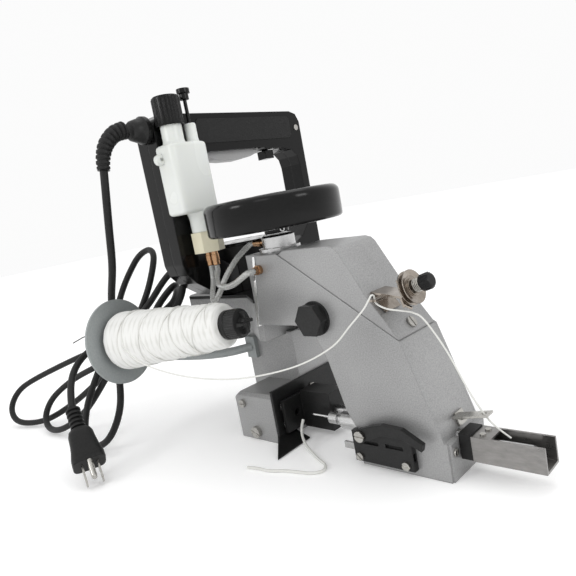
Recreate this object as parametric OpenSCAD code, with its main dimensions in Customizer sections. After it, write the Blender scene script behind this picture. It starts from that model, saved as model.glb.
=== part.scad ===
// Portable bag closer. A chain stitch head stands on two legs: the looper leg on the left and the needle arm
// on the right, with the bag mouth passing between them along Y. A motor, a D handle, an oil bottle and a
// thread cone hang on the looper side. X runs along the needle bar, and the origin is on the needle arm's
// foot, under the needle bar.

/* [Head] */
// Depth of the needle arm along the bag's path
arm_depth = 46; // [44:1:48]
// Wall of the cast arm housing
wall = 4; // [3.5:0.5:4.5]
// Height of the flat top of the head
head_top = 160; // [159:1:161]
// Height of the throat's ceiling
throat_top = 104; // [103:1:105]

/* [Needle drive] */
// Height of the needle bar above the floor
needle_z = 22; // [21:0.5:23]
// Diameter of the needle bar
bar_d = 7; // [6:0.5:7]
// Travel of the needle bar
stroke = 34; // [28:1:34]
// Running clearance on a radius
run_gap = 0.05; // [0.03:0.01:0.09]

/* [Handwheel] */
// Diameter of the handwheel
wheel_d = 110; // [104:1:110]
// Height of the handwheel's rim
wheel_h = 26; // [22:1:28]
// Diameter of the main shaft
shaft_d = 10; // [9:0.5:10]

/* [Motor and handle] */
// Diameter of the motor housing
motor_d = 84; // [80:1:86]
// Width of the handle across its two halves
handle_w = 28; // [26:1:28]
// Height of the handle's top
handle_top = 289; // [286:1:292]

/* [Oil and thread] */
// Width of the oil bottle
bottle_w = 25; // [24:1:26]
// Diameter of the thread stand's disc
disc_d = 74; // [70:1:76]
// Diameter of the sewing thread
thread_d = 1.2; // [1:0.1:1.4]
// Diameter of the chained tail of thread
chain_d = 2.4; // [2:0.1:2.4]

/* [Mains lead] */
// Diameter of the mains lead
cord_d = 6.5; // [6:0.1:7]

/* [Hidden] */
$fn = 48;
front_y = -20;
back_y = front_y + arm_depth;
shaft_x = -103;
shaft_y = 7;
motor_x = -212;
motor_y = 64;
motor_z = 121.5;
handle_x = -200;
plate_x = -117.6;
belt_z = 109.5;
belt_h = 8;
bed_x = -120;
bed_y = 18;
case_z = 85;
case_top = 118.5;
lever_pivot = [-1, 0, 90];
lever_reach = lever_pivot.z - needle_z;
lever_rest = atan(stroke / 2 / lever_reach);
crank = 2.5;
top_arm = crank / sin(lever_rest);
top_x = lever_pivot.x - crank;
top_z = lever_pivot.z + top_arm * cos(lever_rest);
looper_pivot = [-150, 38, 0];
tension_at = [21.7, -5, 127.2];
tension_tilt = 73;
cone_at = [-230, -80, 105];
cone_turn = 13.5;
cone_tilt = 86;
bottle_x = -186;
plug_entry = [-266, -122, 55];
plug_dir = [0.689, -0.225, -0.689];
cord_points = [
    [-198, -78, 248], [-200, -80, 228], [-208, -80, 200], [-222, -77, 170], [-244, -73, 142],
    [-258, -70, 114], [-266, -70, 88], [-266, -73, 60], [-260, -82, 38], [-263, -95, 17],
    [-283, -101, 6], [-308, -99, 12], [-322, -83, 38], [-320, -59, 74], [-320, -37, 108],
    [-322, -18, 138], [-320, -3, 158], [-314, 6, 170], [-300, 10, 175], [-286, 6, 170],
    [-280, -2, 157], [-281, -14, 134], [-296, -26, 106], [-314, -39, 84], [-340, -52, 67],
    [-374, -62, 55], [-400, -71, 43], [-417, -82, 29], [-415, -93, 14], [-396, -98, 5], [-366, -95, 9],
    [-338, -80, 26], [-314, -59, 60], [-300, -42, 86], [-284, -28, 111], [-272, -17, 126],
    [-263, -5, 142], [-250, 2, 152], [-234, 0, 149], [-226, -9, 134], [-231, -18, 118],
    [-248, -26, 105], [-270, -32, 92], [-292, -37, 80], [-320, -46, 63], [-354, -56, 45],
    [-390, -69, 24], [-424, -87, 8], [-452, -101, 5], [-473, -106, 9], [-487, -102, 21],
    [-487, -90, 36], [-466, -76, 48], [-404, -50, 68], [-348, -34, 82], [-306, -24, 91],
    [-280, -18, 105], [-273, 9, 118], [-246, -2, 139], [-236, -35, 123], [-246, -40, 103],
    [-259, -50, 87], [-281, -53, 82], [-304, -69, 92], [-310, -84, 85], [-301, -99, 76],
    [-284, -112, 66], plug_entry
];
relief_points = [[-198, -52, 279], [-198, -62, 276], [-198, -71, 268], [-198, -76, 258], cord_points[0]];
thread_points = [
    [-196, -99, 106], [-168, -104, 99], [-140, -102, 92], [-112, -94, 86], [-84, -82, 83], [-60, -68, 84],
    [-40, -54, 88], [-22, -42, 97], [-10, -36, 109], [0, -32, 119], [4, -30, 124.6], [5, -27.2, 127.6],
    [5, -24.4, 126.4], [5, -24, 122.2]
];
lead_points = [[5, -24, 122.2], [7.5, -22.4, 119], [12, -20, 116.4], [20, -16, 114.2], [25.5, -13, 112],
    [30, -9, 106], [38, -2, 84], [48, 0, 58], [56, 1, 42], [63, 1, 34], [72, 1, 27.5]];
tail_points = [
    [-103.8, -3, 17], [-103, -7, 12], [-98, -13, 7], [-88, -20, 3.6], [-76, -26, 2], [-66, -31, 1.4],
    [-57, -35, 1.3], [-52, -42, 1.3], [-57, -49, 1.3], [-68, -52, 1.3], [-80, -55, 1.3], [-92, -60, 1.3],
    [-104, -61, 1.3], [-113, -63, 1.3]
];
tube_left = [[-175, -9.5, 154.6], [-175, -9.6, 150], [-173.5, -12, 140], [-168, -20, 129.5], [-158, -26, 126],
    [-149, -26, 134], [-144, -20, 146], [-140, -10, 157], [-135.5, 0, 165], [-131.2, 3, 168], [-127.4, 3, 168]];
tube_right = [[-167, -9.5, 154.6], [-167, -9.6, 150], [-163, -15, 144], [-152, -23, 139.5], [-138, -28, 138],
    [-124, -31, 140.5], [-112, -33.5, 144.6], [-104.4, -33, 148.2], [-102.5, -30, 149], [-102.5, -26.4, 149]];

// Slab of an X-Z outline between two Y values.
module slab_y(y0, y1, outline) {
    translate([0, y1, 0]) rotate([90, 0, 0]) linear_extrude(y1 - y0) polygon(outline);
}

// Slab of a Y-Z outline between two X values.
module slab_x(x0, x1, outline) {
    translate([x0, 0, 0]) rotate([90, 0, 90]) linear_extrude(x1 - x0) polygon(outline);
}

// Block between two corners.
module block(a, b) {
    translate(a) cube(b - a);
}

// Round bar along X, Y or Z.
module bar_x(x0, x1, y, z, r) {
    translate([x0, y, z]) rotate([0, 90, 0]) cylinder(h = x1 - x0, r = r);
}
module bar_y(y0, y1, x, z, r) {
    translate([x, y1, z]) rotate([90, 0, 0]) cylinder(h = y1 - y0, r = r);
}
module bar_z(z0, z1, x, y, r) {
    translate([x, y, z0]) cylinder(h = z1 - z0, r = r);
}

// Smooth curve through hand-set points, n steps to each stretch.
function bend(a, b, c, d, t) = 0.5 * (2 * b + (c - a) * t + (2 * a - 5 * b + 4 * c - d) * t * t
    + (3 * b - 3 * c + d - a) * t * t * t);
function curve(p, n) = let (last = len(p) - 1) [
    for (i = [0 : last - 1]) for (k = [0 : n - 1])
        bend(p[max(i - 1, 0)], p[i], p[i + 1], p[min(i + 2, last)], k / n),
    p[last]
];
function unit(v) = v / norm(v);
function headings(q) = [for (i = [0 : len(q) - 1]) unit(q[min(i + 1, len(q) - 1)] - q[max(i - 1, 0)])];
function normals(t, i, n) = i == len(t) ? [] : let (m = unit(n - (n * t[i]) * t[i]))
    concat([m], normals(t, i + 1, m));
function rings(q, r, sides, t, n) = [
    for (i = [0 : len(q) - 1]) for (k = [0 : sides - 1]) let (a = 360 * k / sides)
        q[i] + r * (cos(a) * n[i] + sin(a) * cross(t[i], n[i]))
];
function walls(count, sides) = [
    for (i = [0 : count - 2]) for (k = [0 : sides - 1]) let (j = (k + 1) % sides)
        [i * sides + k, (i + 1) * sides + k, (i + 1) * sides + j, i * sides + j]
];

// Tube swept along points.
module tube(q, r, sides) {
    t = headings(q);
    n = normals(t, 0, abs(t[0].z) < 0.9 ? [0, 0, 1] : [1, 0, 0]);
    start = [for (k = [0 : sides - 1]) k];
    end = [for (k = [sides - 1 : -1 : 0]) (len(q) - 1) * sides + k];
    polyhedron(rings(q, r, sides, t, n), concat([start], walls(len(q), sides), [end]));
}

// Coil of a compression spring along Z.
module coil(r, wire, height, turns) {
    steps = 14 * turns;
    q = [for (i = [0 : steps]) [r * cos(360 * turns * i / steps), r * sin(360 * turns * i / steps),
        wire + (height - 2 * wire) * i / steps]];
    tube(q, wire, 8);
}

// Outline of the cast arm housing in X and Z.
function arm_outline() = [
    [-32, 0], [40, 0], [41, 26], [37, 26.6], [21.3, 77.7], [16, 94.4], [-80, 158.6], [-82, head_top],
    [-105, head_top], [-115, throat_top], [-71, throat_top], [-63, 101.5], [-56.4, 96.2], [-48.3, 76.6],
    [-39.3, 40], [-32.8, 28]
];

// The housing's hollow, open through the slanted top.
function arm_hollow() = [
    [-32 + wall, wall], [40 - wall, wall], [41 - wall, 23], [33.6, 24], [17.3, 76.7], [11.5, 94], [24, 104],
    [-68, 166], [-78, head_top - 4], [-101, head_top - 4], [-111, throat_top + wall],
    [-69, throat_top + wall], [-60, 105], [-52.6, 97.6], [-44.5, 77.6], [-35.4, 41], [-32 + wall, 29]
];

// Room for the belt and its two pulleys.
module belt_room(z0, z1, grow) {
    turn = atan2(motor_y - shaft_y, motor_x - shaft_x);
    span = norm([motor_x - shaft_x, motor_y - shaft_y]);
    bar_z(z0, z1, shaft_x, shaft_y, 15.6 + grow);
    bar_z(z0, z1, motor_x, motor_y, 15.6 + grow);
    translate([shaft_x, shaft_y, z0]) rotate([0, 0, turn]) translate([0, -15.6 - grow, 0])
        cube([span, 31.2 + 2 * grow, z1 - z0]);
}

module arm_housing() {
    color([0.62, 0.63, 0.63]) difference() {
        union() {
            slab_y(front_y, back_y, arm_outline());
            // The left side stands out behind the polished strip.
            slab_y(-11, back_y, [[-126, throat_top], [-108, throat_top], [-100, head_top], [-126, head_top]]);
        }
        slab_y(front_y + wall, back_y + 1, arm_hollow());
        slab_y(-7, back_y + 1, [[-122, throat_top + wall], [-104, throat_top + wall], [-96, head_top - 4],
            [-122, head_top - 4]]);
        belt_room(108.3, 118.7, 0);
        bar_z(throat_top - 1, throat_top + wall + 1, shaft_x, shaft_y, 9);
        bar_z(head_top - 5, head_top + 1, shaft_x, shaft_y, 10);
        bar_x(-34, -26, 0, needle_z, 7.4);
        bar_x(-34, -26, 15, needle_z, 7);
        bar_x(30, 42, 0, needle_z, 6.5);
        bar_y(front_y + 1.5, front_y + wall + 1, lever_pivot.x, lever_pivot.z, 4);
        bar_y(front_y - 1, front_y + wall + 1, -53, 110, 9);
        // Corner relief of the lower end face.
        slab_y(front_y - 1, front_y + 1.6, [[39, -1], [42, -1], [42, 27], [39, 27]]);
    }
}

module edge_strip() {
    color([0.75, 0.77, 0.8])
        slab_y(front_y - 0.6, -11.2, [[-105.2, head_top - 0.5], [-107.8, head_top - 0.5],
            [-118, throat_top - 1], [-115.2, throat_top - 1]]);
}

module top_cover() {
    outer = [[-79.6, 159], [-74, 162], [-31, 161.6], [-26, 160], [-23, 157], [-5.2, 125.7], [4.2, 112.4],
        [15.2, 96.4], [15.6, 95.2]];
    inner = [[-74, 156.6], [-72, 159.4], [-31.6, 159], [-26, 157], [-7.4, 124.6], [2, 111.2], [12.4, 96.8],
        [6, 90], [-80, 146]];
    color([0.58, 0.6, 0.6]) difference() {
        slab_y(front_y, back_y, outer);
        slab_y(front_y + 2.5, back_y - 2.5, inner);
    }
}

module rear_cover() {
    color([0.6, 0.61, 0.61]) difference() {
        slab_y(back_y, back_y + 2.5, arm_outline());
        block([-130, back_y - 1, 107], [-98, back_y + 4, 119.5]);
        bar_y(back_y - 1, back_y + 4, lever_pivot.x, lever_pivot.z, 4);
    }
}

module bed_frame() {
    color([0.55, 0.56, 0.56]) difference() {
        union() {
            // Looper leg.
            block([-179, bed_y, 0], [bed_x, 68, case_z + 2]);
            // Belt case under the motor.
            translate([0, 0, case_z]) linear_extrude(case_top - case_z)
                polygon([[-262, 24], [-254, 16], [-166, 16], [-134, -6], [-126.3, -6], [-126.3, 29],
                    [-100, 29], [-100, 68], [-150, 98], [-150, 106], [-254, 106], [-262, 98]]);
            // Gear box behind the head.
            block([-126.3, 28.8, 100], [-62, 68, 156]);
        }
        belt_room(108.3, case_top + 1, 0);
        // Chambers of the leg round the looper shaft.
        block([-172, bed_y + 6, 4], [-127, 62, 42]);
        block([-172, bed_y + 6, 50], [-127, 62, 90]);
        block([-170, bed_y - 1, 8], [-125, bed_y + 7, 38]);
        block([-128, bed_y - 1, 8], [-119, 50, 38]);
        bar_z(1, 106, looper_pivot.x, looper_pivot.y, 5 + run_gap);
        block([-120, 34, 122], [-68, 62, 150]);
    }
}

module motor_plate() {
    color([0.3, 0.3, 0.31]) difference() {
        translate([0, 0, case_top]) linear_extrude(motor_z - case_top)
            polygon([[-262, 24], [-254, 16], [-166, 16], [-134, -6], [-126.6, -6], [-126.6, 84], [-150, 98],
                [-150, 106], [-254, 106], [-262, 98]]);
        bar_z(case_top - 1, motor_z + 1, motor_x, motor_y, 4 + run_gap);
    }
}

module looper_cover() {
    color([0.55, 0.56, 0.56]) difference() {
        slab_y(front_y, bed_y, [[-166, 0], [-120.3, 0], [-120.3, 42], [-161, 42], [-166, 37]]);
        block([-163, front_y + 3, 3], [-119, bed_y + 1, 39]);
        // Sloping front of the top.
        slab_x(-170, -119, [[front_y - 1, 38], [front_y + 4, 43], [front_y - 1, 43]]);
    }
}

module throat_plate() {
    color([0.12, 0.12, 0.12]) difference() {
        union() {
            block([bed_x, front_y, 5], [plate_x, 62, 46]);
            // Flared foot that guides the bag.
            hull() {
                block([bed_x, front_y, 5], [plate_x, -2, 7]);
                translate([0, 0, 0.4]) linear_extrude(1)
                    polygon([[-119, -22], [-99, -43], [-101, -2], [-119, -2]]);
            }
        }
        bar_x(bed_x - 1, plate_x + 1, 0, needle_z, 3);
        for (z = [11.2, 27.2]) block([bed_x - 1, -13.5, z], [plate_x + 1, 21, z + 5.6]);
    }
}

module feed_dog() {
    color([0.7, 0.7, 0.72]) difference() {
        union() {
            block([-127, -14, 10], [-124, 18, 34]);
            for (z = [12, 28]) {
                block([-124, -12, z], [-118.3, 16, z + 4]);
                for (y = [-12 : 4 : 12]) translate([0, y, z]) linear_extrude(4)
                    polygon([[-118.4, 0], [-116.9, 2], [-118.4, 4]]);
            }
        }
        bar_x(-128, -123, -1.5, needle_z, 4.5);
    }
}

module looper() {
    color([0.78, 0.78, 0.8]) difference() {
        union() {
            translate([0, 0, 24.2]) linear_extrude(3.8)
                polygon([[-156, 38], [-144, 38], [-137, 2], [-128.6, -6], [-129.4, -8], [-134, -5], [-142, 0]]);
            bar_z(20, 28, looper_pivot.x, looper_pivot.y, 9);
        }
        bar_z(10, 30, looper_pivot.x, looper_pivot.y, 5);
    }
}

module looper_shaft() {
    color([0.72, 0.72, 0.74]) bar_z(2, 105.5, looper_pivot.x, looper_pivot.y, 5);
}

module needle_bar() {
    color([0.8, 0.8, 0.82]) {
        bar_x(-74, 86, 0, needle_z, bar_d / 2);
        bar_x(12, 20, 0, needle_z, 6.5);
        bar_y(-14, -3, 16, needle_z, 2.5);
        bar_x(-74, -66, 0, needle_z, 5);
    }
}

module needle() {
    color([0.85, 0.85, 0.88]) {
        bar_x(-93, -74, 0, needle_z, 1);
        translate([-97, 0, needle_z]) rotate([0, 90, 0]) cylinder(h = 4, r1 = 0.2, r2 = 1);
    }
}

module needle_bushes() {
    color([0.66, 0.55, 0.36]) difference() {
        union() {
            bar_x(-60, -28.2, 0, needle_z, 7.4);
            bar_x(-50, -28.2, 15, needle_z, 7);
            bar_x(34, 49.5, 0, needle_z, 6.5);
        }
        bar_x(-61, 50, 0, needle_z, bar_d / 2 + run_gap);
        bar_x(-61, -27, 15, needle_z, 4 + run_gap);
    }
}

module needle_lever() {
    color([0.5, 0.5, 0.52]) difference() {
        translate(lever_pivot) rotate([0, -lever_rest, 0]) difference() {
            union() {
                bar_y(-15.5, -8.5, 0, 0, 8);
                slab_y(-13.5, -8.5, [[-5, 0], [5, 0], [6.5, -lever_reach + 8], [6.5, -lever_reach - 6],
                    [-6.5, -lever_reach - 6], [-6.5, -lever_reach + 8]]);
                slab_y(-13.5, -8.5, [[-4, 0], [4, 0], [3.5, top_arm], [-3.5, top_arm]]);
                bar_y(-13.5, -8.5, 0, top_arm, 3.5);
                bar_y(-9, -2.5, 0, top_arm, 2);
            }
            block([-3.1, -14, -lever_reach - 8], [3.1, -8, -lever_reach + 3.2]);
        }
        bar_y(-20, 0, lever_pivot.x, lever_pivot.z, 4 + run_gap);
    }
}

module lever_pin() {
    color([0.75, 0.75, 0.77]) bar_y(front_y + 1.5, back_y + 2.5, lever_pivot.x, lever_pivot.z, 4);
}

module connecting_rod() {
    color([0.6, 0.6, 0.62]) difference() {
        union() {
            for (x = [shaft_x - 2 * crank, shaft_x]) bar_z(121, 129, x, shaft_y, 13.5);
            block([shaft_x - 2 * crank, shaft_y - 13.5, 121], [shaft_x, shaft_y + 13.5, 129]);
            slab_y(-8, -3, [[-98, 121], [-98, 129], [-90, 129], [top_x, top_z + 4.4], [top_x, top_z - 4.4],
                [-90, 121]]);
            bar_y(-8, -3, top_x, top_z, 4.4);
        }
        for (x = [shaft_x - 2 * crank, shaft_x]) bar_z(120, 130, x, shaft_y, 11);
        block([shaft_x - 2 * crank, shaft_y - 11, 120], [shaft_x, shaft_y + 11, 130]);
        bar_y(-9, -2, top_x, top_z, 2.9);
    }
}

module main_shaft() {
    color([0.78, 0.78, 0.8]) {
        bar_z(104.5, 198, shaft_x, shaft_y, shaft_d / 2);
        bar_z(121, 129, shaft_x - crank, shaft_y, 8);
    }
}

// Flanged pulley on a shaft.
module pulley(x, y, r, bore) {
    difference() {
        union() {
            bar_z(belt_z, belt_z + belt_h, x, y, r);
            bar_z(belt_z, belt_z + 1.5, x, y, r + 1.5);
            bar_z(belt_z + belt_h - 1.5, belt_z + belt_h, x, y, r + 1.5);
        }
        bar_z(belt_z - 1, belt_z + belt_h + 1, x, y, bore);
    }
}

module driven_pulley() {
    color([0.7, 0.7, 0.68]) pulley(shaft_x, shaft_y, 13, shaft_d / 2);
}

module motor_pulley() {
    color([0.7, 0.7, 0.68]) pulley(motor_x, motor_y, 10, 4);
}

module handwheel() {
    r = wheel_d / 2;
    top = 178.5 + wheel_h;
    color([0.08, 0.08, 0.08]) translate([shaft_x, shaft_y, 0]) rotate_extrude($fn = 96)
        polygon([[shaft_d / 2, 174], [10, 174], [10, 178.5], [16, 178.5], [18, 186], [r - 10, 186],
            [r - 8, 178.5], [r - 2, 178.5], [r, 181], [r, top - 6], [r - 0.8, top - 3.2], [r - 2.6, top - 1],
            [r - 6, top], [r - 10, top - 1.5], [16, top - 1.5], [14, top + 1], [0, top + 1], [0, 198],
            [shaft_d / 2, 198]]);
}

module shaft_bearings() {
    bore = shaft_d / 2 + run_gap;
    color([0.72, 0.72, 0.74]) translate([shaft_x, shaft_y, 0]) {
        rotate_extrude() polygon([[bore, 156], [10, 156], [10, head_top], [17, head_top], [17, 163],
            [13.5, 163], [13.5, 171.5], [12, 173], [bore, 173]]);
        rotate_extrude() polygon([[bore, throat_top], [9, throat_top], [9, 108], [bore, 108]]);
    }
}

module drive_belt() {
    color([0.1, 0.1, 0.1]) translate([0, 0, belt_z + 1.9]) linear_extrude(4.2) difference() {
        hull() {
            translate([shaft_x, shaft_y]) circle(14.9);
            translate([motor_x, motor_y]) circle(11.9);
        }
        hull() {
            translate([shaft_x, shaft_y]) circle(13.4);
            translate([motor_x, motor_y]) circle(10.4);
        }
    }
}

module rotor() {
    color([0.55, 0.4, 0.3]) {
        bar_z(belt_z, 160, motor_x, motor_y, 4);
        bar_z(127, 157, motor_x, motor_y, 30);
        bar_z(123.5, 125.5, motor_x, motor_y, 36);
        bar_z(125, 128, motor_x, motor_y, 12);
    }
}

module motor_housing() {
    color([0.62, 0.63, 0.63]) difference() {
        bar_z(motor_z, 165, motor_x, motor_y, motor_d / 2);
        bar_z(motor_z - 1, 166, motor_x, motor_y, motor_d / 2 - 3);
    }
}

module motor_cover() {
    color([0.15, 0.15, 0.15]) difference() {
        union() {
            bar_z(165, 167, motor_x, motor_y, motor_d / 2);
            bar_z(166, 168, motor_x, motor_y, motor_d / 2 - 2);
        }
        for (a = [0 : 30 : 330])
            bar_z(164, 169, motor_x + 26 * cos(a), motor_y + 26 * sin(a), 3);
    }
}

// Outline of the handle in Y and Z.
function handle_outline() = [
    [20, 121.7], [0, 127], [-20, 141], [-28, 150], [-31, 160], [-31, handle_top - 10], [-28, handle_top - 4],
    [-22, handle_top], [140, handle_top], [149, handle_top - 3], [153, handle_top - 11], [153, 150],
    [140, 136], [106, 121.7]
];

// Finger window of the handle.
function handle_window() = [
    [-5, 236], [-2, 246], [6, 251.5], [20, 253], [24, 254.5], [94, 254.5], [98, 252.8], [120, 252.8],
    [134, 250], [141, 243], [143, 234], [143, 176], [128, 160], [106, 150], [22, 150], [6, 160], [-5, 176]
];

// One half of the handle between two X values.
module handle_half(x0, x1) {
    difference() {
        slab_x(x0, x1, handle_outline());
        slab_x(x0 - 1, x1 + 1, handle_window());
        bar_z(110, 175, motor_x, motor_y, motor_d / 2 + 0.3);
        // Pocket and pin holes of the trigger, and slot of its lock.
        block([handle_x - 8, 24, 250], [handle_x + 8, 94, 264]);
        bar_x(handle_x - 10, handle_x + 10, 88, 255.5, 2 + run_gap);
        block([handle_x - 2.4, 105.5, 250], [handle_x + 2.4, 114.5, 258.4]);
    }
}

module handle_outer() {
    color([0.6, 0.61, 0.62]) handle_half(handle_x, handle_x + handle_w / 2);
}

module handle_inner() {
    color([0.56, 0.57, 0.58]) handle_half(handle_x - handle_w / 2, handle_x);
}

module grip_pads() {
    outline = [[14, 265], [17, 262], [134, 262], [137, 265], [137, 281], [134, 284], [17, 284], [14, 281]];
    color([0.42, 0.43, 0.44]) {
        slab_x(handle_x + handle_w / 2, handle_x + handle_w / 2 + 0.8, outline);
        slab_x(handle_x - handle_w / 2 - 0.8, handle_x - handle_w / 2, outline);
    }
}

module trigger() {
    color([0.75, 0.76, 0.76]) {
        slab_x(handle_x - 7, handle_x + 7, [[26, 251], [34, 247.4], [46, 246], [66, 245.8], [80, 247.8],
            [92, 251.5], [92, 258], [86, 259.5], [26, 259.5]]);
        bar_x(handle_x - 9.7, handle_x + 9.7, 88, 255.5, 2);
    }
}

module trigger_lock() {
    color([0.08, 0.08, 0.08]) {
        block([handle_x - 6, 103, 244], [handle_x + 6, 114, 252.2]);
        block([handle_x - 2, 106, 252], [handle_x + 2, 111, 258]);
    }
}

// Box with rounded upright edges.
module rounded(a, b, r) {
    for (x = [a.x + r, b.x - r]) for (y = [a.y + r, b.y - r]) bar_z(a.z, b.z, x, y, r);
    block([a.x + r, a.y, a.z], [b.x - r, b.y, b.z]);
    block([a.x, a.y + r, a.z], [b.x, b.y - r, b.z]);
}

module oil_bottle() {
    far = bottle_x + bottle_w;
    color([0.85, 0.85, 0.8]) difference() {
        union() {
            rounded([bottle_x, -36, 202], [far, 3, 261], 5);
            bar_z(185, 203, -172, -9.5, 12);
            bar_z(260, 290, -174, -22, 9);
            bar_z(260, 277, -172, -3.5, 5);
            block([-180, -41, 245], [-174, -35, 254]);
        }
        rounded([bottle_x + 1.5, -34.5, 203.5], [far - 1.5, 1.5, 259.5], 3.6);
        bar_z(188, 204, -172, -9.5, 10);
        bar_z(258, 291, -174, -22, 7.5);
        bar_z(258, 278, -172, -3.5, 1.6 + run_gap);
        bar_x(-181, -173, -38.5, 249.5, 1.5);
    }
}

module filler_cap() {
    color([0.05, 0.05, 0.05]) difference() {
        union() {
            bar_z(276, 299, -174, -22, 11.6);
            bar_z(298, 300, -174, -22, 10.4);
            for (a = [0 : 15 : 345]) bar_z(277, 298, -174 + 11.3 * cos(a), -22 + 11.3 * sin(a), 0.7);
        }
        bar_z(275, 291, -174, -22, 9 + run_gap);
    }
}

module oil_plunger() {
    color([0.1, 0.1, 0.1]) {
        bar_z(235, 298, -172, -3.5, 1.6);
        bar_z(233, 236, -172, -3.5, 4);
        bar_z(297, 302.5, -172, -3.5, 4);
        bar_z(302, 306, -172, -3.5, 5.6);
    }
}

module bottle_nut() {
    color([0.86, 0.82, 0.68]) translate([-172, -9.5, 167]) cylinder(h = 18, r = 13.5, $fn = 6);
}

module oil_fittings() {
    color([0.72, 0.58, 0.3]) {
        for (x = [-175, -167]) {
            bar_z(155, 167, x, -9.5, 3.4);
            bar_z(159, 164, x, -9.5, 3.8);
        }
        difference() {
            union() {
                bar_x(-127, -110, 3, 168, 3);
                bar_x(-122, -118, 3, 168, 3.6);
            }
            bar_z(160, 176, shaft_x, shaft_y, 13.5);
        }
        bar_y(front_y - 6, front_y, -102.5, 149, 3);
        bar_y(front_y - 3, front_y, -102.5, 149, 3.8);
    }
}

module oil_tubes() {
    color([0.75, 0.76, 0.74]) {
        tube(curve(tube_left, 2), 2.5, 8);
        tube(curve(tube_right, 2), 2.5, 8);
    }
}

module needle_guard() {
    color([0.4, 0.38, 0.36]) difference() {
        block([50, -9.5, 12.5], [96, 9.5, 29.3]);
        block([51.5, -8, 14], [97, 8, 27.8]);
        block([63, -8, 27], [97, 8, 30]);
        bar_x(49, 52, 0, needle_z, 5);
    }
}

module guard_gasket() {
    color([0.07, 0.07, 0.07]) difference() {
        block([41.3, -8.6, 12.5], [50, 8.6, 30.3]);
        bar_x(40, 49.5, 0, needle_z, 6.5);
        bar_x(49, 51, 0, needle_z, 5);
    }
}

module thread_guide() {
    color([0.75, 0.75, 0.76]) difference() {
        union() {
            slab_y(2, 12, [[36.2, 29.5], [33.5, 38.2], [35.1, 38.8], [37.8, 30]]);
            slab_y(-3, 6, [[35.6, 36.4], [60, 41], [60, 42.5], [35.2, 37.9]]);
        }
        bar_z(38, 45, 56, 1, 2);
    }
}

// Frame of the thread tensioner, with Z along its spindle.
module at_tension() {
    translate(tension_at) rotate([0, tension_tilt, 0]) children();
}

module tension_bracket() {
    color([0.75, 0.75, 0.76]) difference() {
        union() {
            slab_y(-15, 3, [[4.7, 112.6], [-4.7, 125.9], [-3.4, 126.8], [6, 113.5]]);
            slab_y(-15, 3, [[-4.7, 125.6], [20.5, 121.6], [20.5, 123.2], [-4.2, 127.2]]);
            at_tension() {
                block([-8, -8, -4], [10, 8, -2.4]);
                cylinder(h = 14, r = 2, center = true);
                translate([0, 0, 5]) cylinder(h = 5, r = 2);
            }
            block([2, -27, 123], [8, -12, 124.6]);
            slab_y(-17, -15, [[20.4, 118.5], [21.9, 118.9], [27, 116.6], [26.4, 115.2]]);
            at_tension() block([4, -12, -4], [10, -7, -2.4]);
        }
        bar_z(120, 127, 5, -24, 1.4);
    }
}

module tension_discs() {
    color([0.82, 0.82, 0.84]) at_tension() {
        rotate_extrude() polygon([[2.1, -0.9], [8, -0.9], [11.7, -2.3], [11.7, -1.5], [8, -0.05], [2.1, -0.05]]);
        rotate_extrude() polygon([[2.1, 0.05], [8, 0.05], [11.7, 1.5], [11.7, 2.3], [8, 0.9], [6, 0.9], [6, 2.4],
            [2.1, 2.4]]);
    }
}

module tension_spring() {
    color([0.85, 0.85, 0.86]) at_tension() translate([0, 0, 2.45]) coil(4.2, 0.5, 6, 4);
}

module tension_knob() {
    color([0.06, 0.06, 0.06]) at_tension() {
        rotate_extrude() polygon([[2 + run_gap, 8.8], [5.3, 8.8], [5.3, 15], [4.4, 16], [0, 16], [0, 10.6],
            [2 + run_gap, 10.6]]);
        for (a = [0 : 24 : 336]) rotate([0, 0, a]) translate([5.2, 0, 9.2]) cylinder(h = 5.6, r = 0.5);
    }
}

module presser_bar() {
    color([0.8, 0.8, 0.82]) {
        bar_x(-112, 24, 15, needle_z, 4);
        bar_x(-22, -16, 15, needle_z, 6.8);
    }
}

module presser_foot() {
    color([0.1, 0.1, 0.1]) difference() {
        union() {
            block([-115.5, -14, 8], [-112, 22, 36]);
            block([-112, 7, 6], [-80, 26, 38]);
        }
        bar_x(-112, -79, 15, needle_z, 4);
        bar_x(-117, -111, 0, needle_z, 3);
    }
}

module presser_spring() {
    color([0.7, 0.7, 0.72]) translate([-9, 15, needle_z]) rotate([0, 90, 0]) coil(5.8, 0.7, 42, 7);
}

module lifter_lever() {
    color([0.08, 0.08, 0.08]) difference() {
        union() {
            slab_y(-29.5, -25.5, [[-27, 24], [-25, 31], [-14, 35.5], [-4, 37.8], [12, 37], [27, 28.5],
                [25.5, 23.5], [12, 29.8], [-4, 30], [-18, 24]]);
            bar_y(-29.5, -25.5, -23, 27, 5);
        }
        bar_y(-31, -24, -23, 27, 2.5 + run_gap);
    }
}

module knife_cover() {
    color([0.09, 0.09, 0.09]) difference() {
        block([-34, -25, 5], [15, front_y, 28]);
        block([-35, -24, 11.5], [16, -21, 17.5]);
        for (x = [-26, -6]) block([x, -26, 19], [x + 14, -23, 22]);
    }
}

module knife() {
    color([0.8, 0.8, 0.82]) block([-44, -23.5, 12], [8, -21.5, 17]);
}

module hex_plug() {
    color([0.08, 0.08, 0.08]) {
        bar_y(front_y, front_y + wall, -53, 110, 9);
        bar_y(front_y - 1.5, front_y, -53, 110, 13);
        translate([-53, front_y - 1.4, 110]) rotate([90, 0, 0]) cylinder(h = 8, r = 12.7, $fn = 6);
    }
}

// Cheese head screw with a slot, standing on a face that looks along Z.
module screw_head(r, h) {
    difference() {
        cylinder(h = h, r = r);
        translate([-r - 1, -0.5, h - 0.8]) cube([2 * r + 2, 1, 2]);
    }
}

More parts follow.
